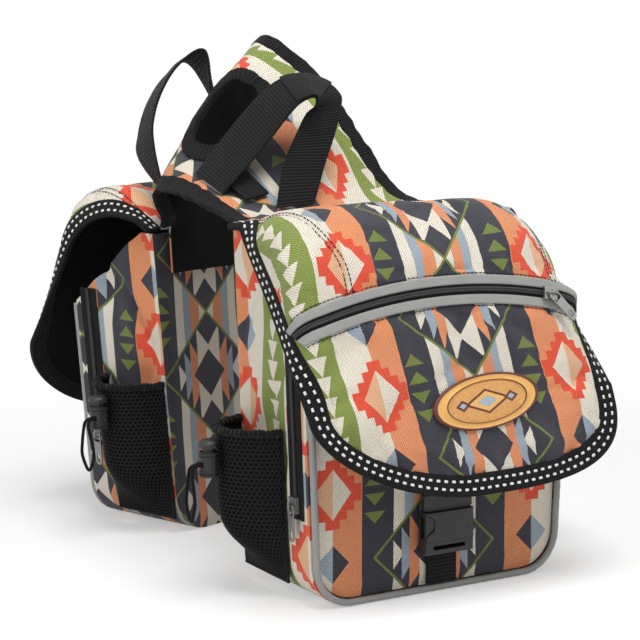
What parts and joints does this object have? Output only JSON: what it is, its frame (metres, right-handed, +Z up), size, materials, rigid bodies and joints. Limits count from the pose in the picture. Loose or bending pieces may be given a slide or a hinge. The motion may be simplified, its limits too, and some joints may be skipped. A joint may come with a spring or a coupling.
{
  "type": "pommel bag",
  "caption": "Saddle pommel bag: flap-topped zipped pouches joined by a yoke with a horn hole, mesh side pockets with cord locks, buckles and webbing grab loops.",
  "frame": {"origin": "centre of the near pouch's flat base, on the surface it stands on", "axes": "+X to the right seen from the near pouch's front, +Y from the near pouch to the far pouch, +Z up"},
  "size_m": [0.3233, 0.4883, 0.3782],
  "materials": {
    "badge": "tan patch with a brown rim",
    "cord": "braided black cord",
    "lining": "matt black backing cloth",
    "mesh": "open black spacer mesh",
    "panel_print": "coarse printed polyester weave",
    "piping": "smooth grey piping",
    "plastic": "moulded black plastic",
    "print": "coarse printed polyester weave",
    "webbing": "ribbed black webbing",
    "zip_metal": "cast metal, satin",
    "zip_tape": "woven tape with a nylon coil"
  },
  "bodies": {
    "bag": {"far_back_panel": "panel_print", "far_buckle_plug": "plastic", "far_buckle_socket": "plastic", "far_buckle_strap": "webbing", "far_flap": "print", "far_flap_binding": "webbing", "far_flap_strap": "webbing", "far_flap_zip": "zip_tape", "far_front_panel": "print", "far_gusset": "print", "far_left_cord_lock": "plastic", "far_left_draw_cord": "cord", "far_left_mesh": "mesh", "far_piping": "piping", "far_right_cord_lock": "plastic", "far_right_draw_cord": "cord", "far_right_mesh": "mesh", "far_side_zip": "zip_tape", "far_strap": "webbing", "horn_hole_binding": "webbing", "near_back_panel": "panel_print", "near_badge": "badge", "near_buckle_socket": "plastic", "near_buckle_strap": "webbing", "near_flap": "print", "near_flap_binding": "webbing", "near_flap_zip": "zip_tape", "near_front_panel": "print", "near_gusset": "print", "near_left_cord_lock": "plastic", "near_left_draw_cord": "cord", "near_left_mesh": "mesh", "near_piping": "piping", "near_right_cord_lock": "plastic", "near_right_draw_cord": "cord", "near_right_mesh": "mesh", "near_side_zip": "zip_tape", "near_strap": "webbing", "near_strap_patch": "mesh", "near_strap_tail": "webbing", "yoke_cover": "print", "yoke_high_binding": "webbing", "yoke_lining": "lining", "yoke_low_binding": "webbing"},
    "near_side_slider": {"near_side_zip_slider": "zip_metal"},
    "near_side_pull": {"near_side_zip_pull": "zip_metal"},
    "near_flap_slider": {"near_flap_zip_slider": "zip_metal"},
    "near_flap_pull": {"near_flap_zip_pull": "zip_metal"},
    "near_left_button": {"near_left_lock_button": "plastic"},
    "near_right_button": {"near_right_lock_button": "plastic"},
    "far_side_slider": {"far_side_zip_slider": "zip_metal"},
    "far_side_pull": {"far_side_zip_pull": "zip_metal"},
    "far_flap_slider": {"far_flap_zip_slider": "zip_metal"},
    "far_flap_pull": {"far_flap_zip_pull": "zip_metal"},
    "far_left_button": {"far_left_lock_button": "plastic"},
    "far_right_button": {"far_right_lock_button": "plastic"},
    "near_buckle": {"near_buckle_plug": "plastic", "near_flap_strap": "webbing"}
  },
  "joints": [
    {"name": "near_side_zip_run", "type": "slide", "parent": "bag", "child": "near_side_slider", "axis": [-0.0399, 0, 0.9992], "range_m": [0, 0.0921]},
    {"name": "near_side_pull_swing", "type": "hinge", "parent": "near_side_slider", "child": "near_side_pull", "pos_m": [-0.1084, -0.03, 0.06979], "axis": [0, 1, 0], "range_deg": [0, 120]},
    {"name": "near_flap_zip_run", "type": "hinge", "parent": "bag", "child": "near_flap_slider", "pos_m": [0, -0.16524, -0.17563], "axis": [0, -0.9623, 0.272], "range_deg": [0, 23.07]},
    {"name": "near_flap_pull_swing", "type": "hinge", "parent": "near_flap_slider", "child": "near_flap_pull", "pos_m": [0.08, -0.06372, 0.20294], "axis": [-0.7608, -0.1766, -0.6245], "range_deg": [0, 120]},
    {"name": "near_left_lock_press", "type": "slide", "parent": "bag", "child": "near_left_button", "axis": [0, 0, -1], "range_m": [0, 0.0025], "stiffness_N_per_m": 400},
    {"name": "near_right_lock_press", "type": "slide", "parent": "bag", "child": "near_right_button", "axis": [0, 0, -1], "range_m": [0, 0.0025], "stiffness_N_per_m": 400},
    {"name": "far_side_zip_run", "type": "slide", "parent": "bag", "child": "far_side_slider", "axis": [-0.0613, 0.052, 0.9968], "range_m": [0, 0.1066]},
    {"name": "far_side_pull_swing", "type": "hinge", "parent": "far_side_slider", "child": "far_side_pull", "pos_m": [-0.12479, 0.24671, 0.06979], "axis": [-0.342, 0.9397, 0], "range_deg": [0, 120]},
    {"name": "far_flap_zip_run", "type": "hinge", "parent": "bag", "child": "far_flap_slider", "pos_m": [-0.08113, 0.44368, -0.18091], "axis": [0.3253, -0.8933, -0.3101], "range_deg": [0, 22.56]},
    {"name": "far_flap_pull_swing", "type": "hinge", "parent": "far_flap_slider", "child": "far_flap_pull", "pos_m": [0.03486, 0.35891, 0.20241], "axis": [0.7895, 0.0758, 0.609], "range_deg": [0, 120]},
    {"name": "far_left_lock_press", "type": "slide", "parent": "bag", "child": "far_left_button", "axis": [0.0239, -0.0654, -0.9976], "range_m": [0, 0.0025], "stiffness_N_per_m": 400},
    {"name": "far_right_lock_press", "type": "slide", "parent": "bag", "child": "far_right_button", "axis": [0.0239, -0.0654, -0.9976], "range_m": [0, 0.0025], "stiffness_N_per_m": 400},
    {"name": "near_buckle_release", "type": "slide", "parent": "bag", "child": "near_buckle", "axis": [0, 0, 1], "range_m": [0, 0.022]}
  ]
}
